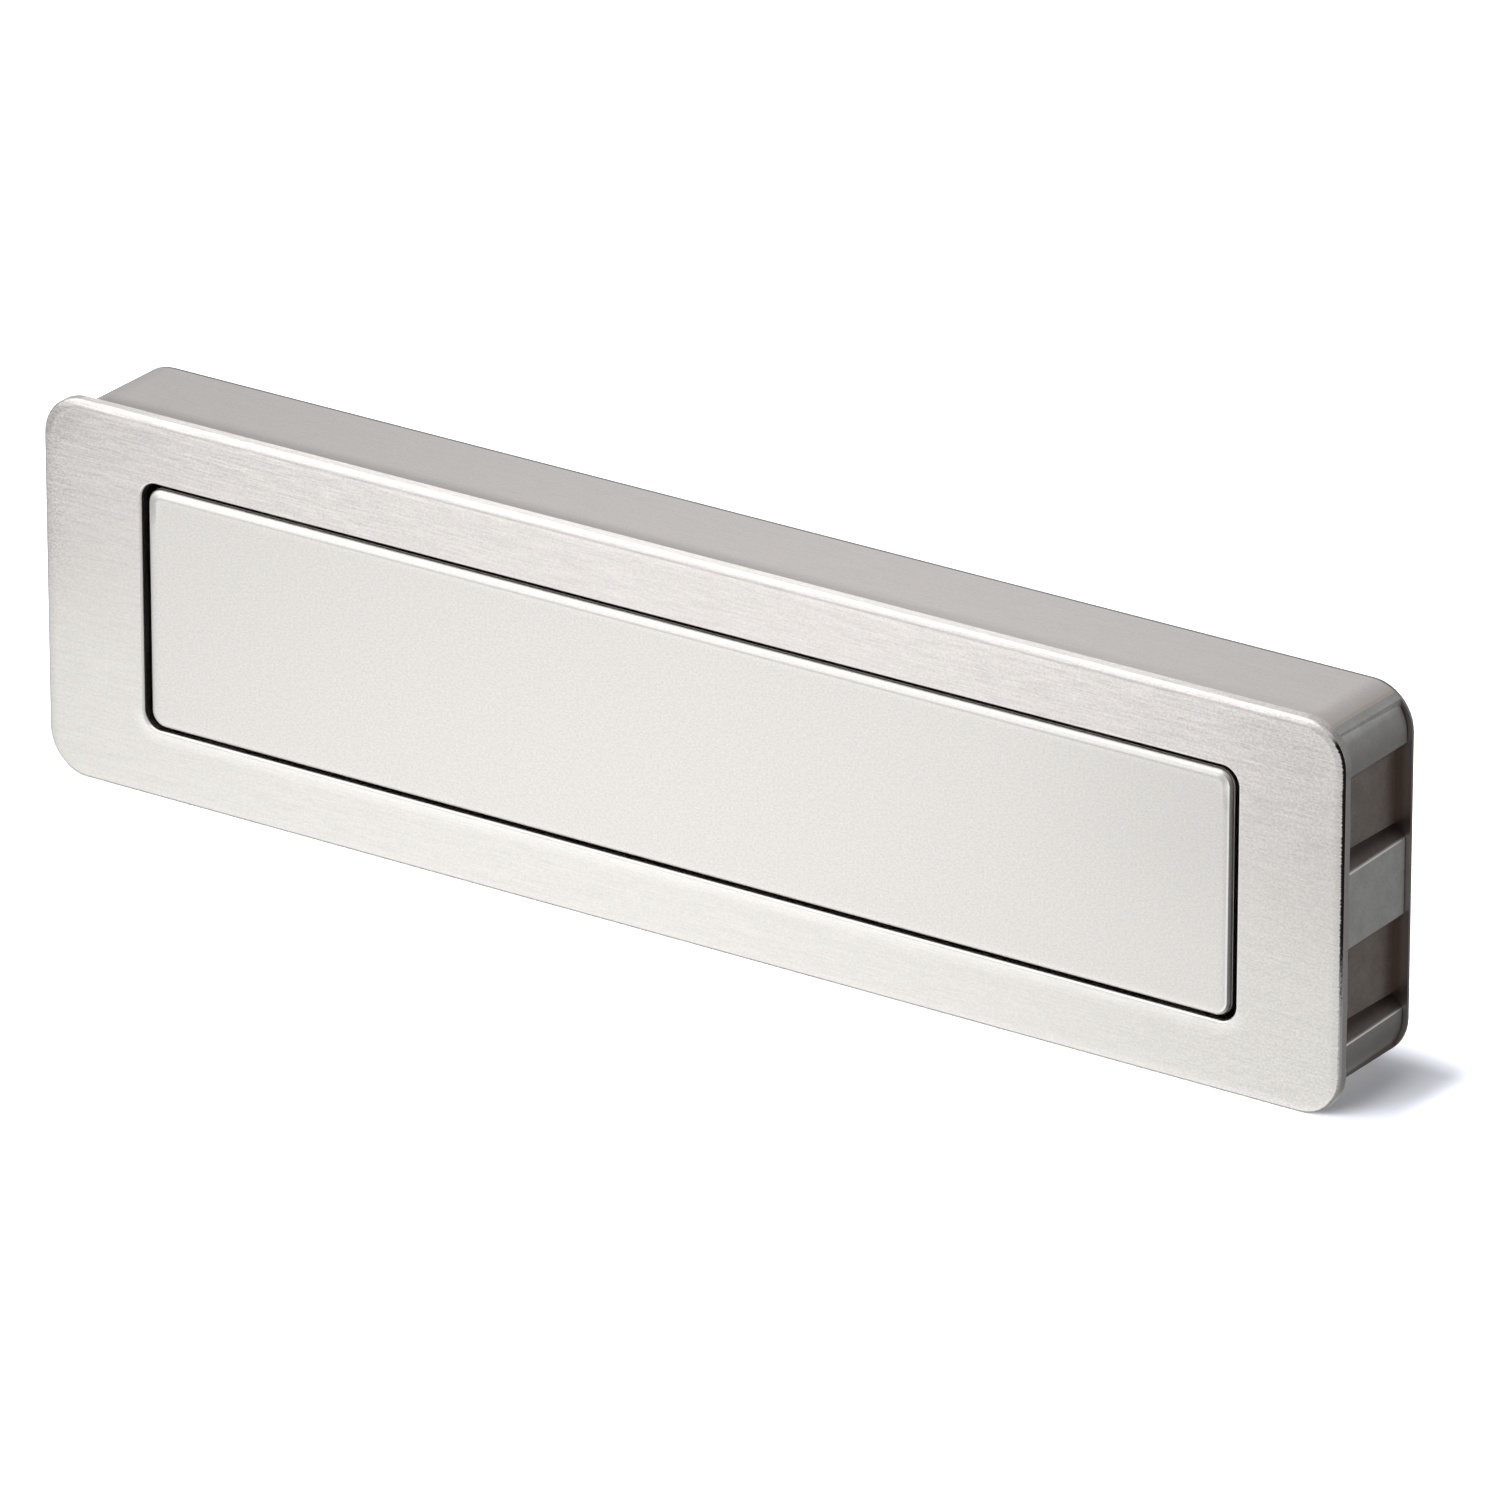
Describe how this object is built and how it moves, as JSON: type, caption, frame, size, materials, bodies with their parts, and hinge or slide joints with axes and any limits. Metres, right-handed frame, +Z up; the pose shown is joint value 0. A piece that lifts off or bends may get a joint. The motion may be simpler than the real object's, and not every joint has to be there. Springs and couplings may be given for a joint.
{
  "type": "recessed pull handle",
  "caption": "Rectangular flush pull handle with a lipped die-cast housing, a sprung flap that closes its finger recess, and a screwed back plate.",
  "frame": {"origin": "middle of the handle's bounding box: the front face is at y = -9.25 mm and the back plate's outer face at y = +9.25 mm", "axes": "+X along the handle's length, +Y into the panel, +Z up towards the flap's hinge"},
  "size_m": [0.2, 0.0186, 0.0532],
  "materials": {
    "brushed_nickel": "nickel-plated zinc casting, brushed along its length",
    "satin_nickel": "nickel-plated zinc casting, fine satin",
    "rod_steel": "ground",
    "spring_steel": "drawn wire",
    "strip_steel": "zinc-plated",
    "screw_steel": "zinc-plated",
    "bumper_rubber": "soft matt",
    "plate_nickel": "nickel-plated sheet, satin"
  },
  "bodies": {
    "housing": {"housing": "brushed_nickel", "hinge_rod": "rod_steel", "spring_left": "spring_steel", "spring_right": "spring_steel", "rod_clip_left": "strip_steel", "rod_clip_right": "strip_steel", "clip_screws": "screw_steel", "bumper_left": "bumper_rubber", "bumper_right": "bumper_rubber", "back_plate": "plate_nickel", "plate_screws": "screw_steel"},
    "flap": {"flap": "satin_nickel"}
  },
  "joints": [
    {"name": "flap_hinge", "type": "hinge", "parent": "housing", "child": "flap", "pos_m": [0, -0.0044, 0.0204], "axis": [1, 0, 0], "range_deg": [0, 18], "stiffness_Nm_per_rad": 0.06, "springref_deg": -45.84, "deforming": ["spring_left", "spring_right"]}
  ]
}
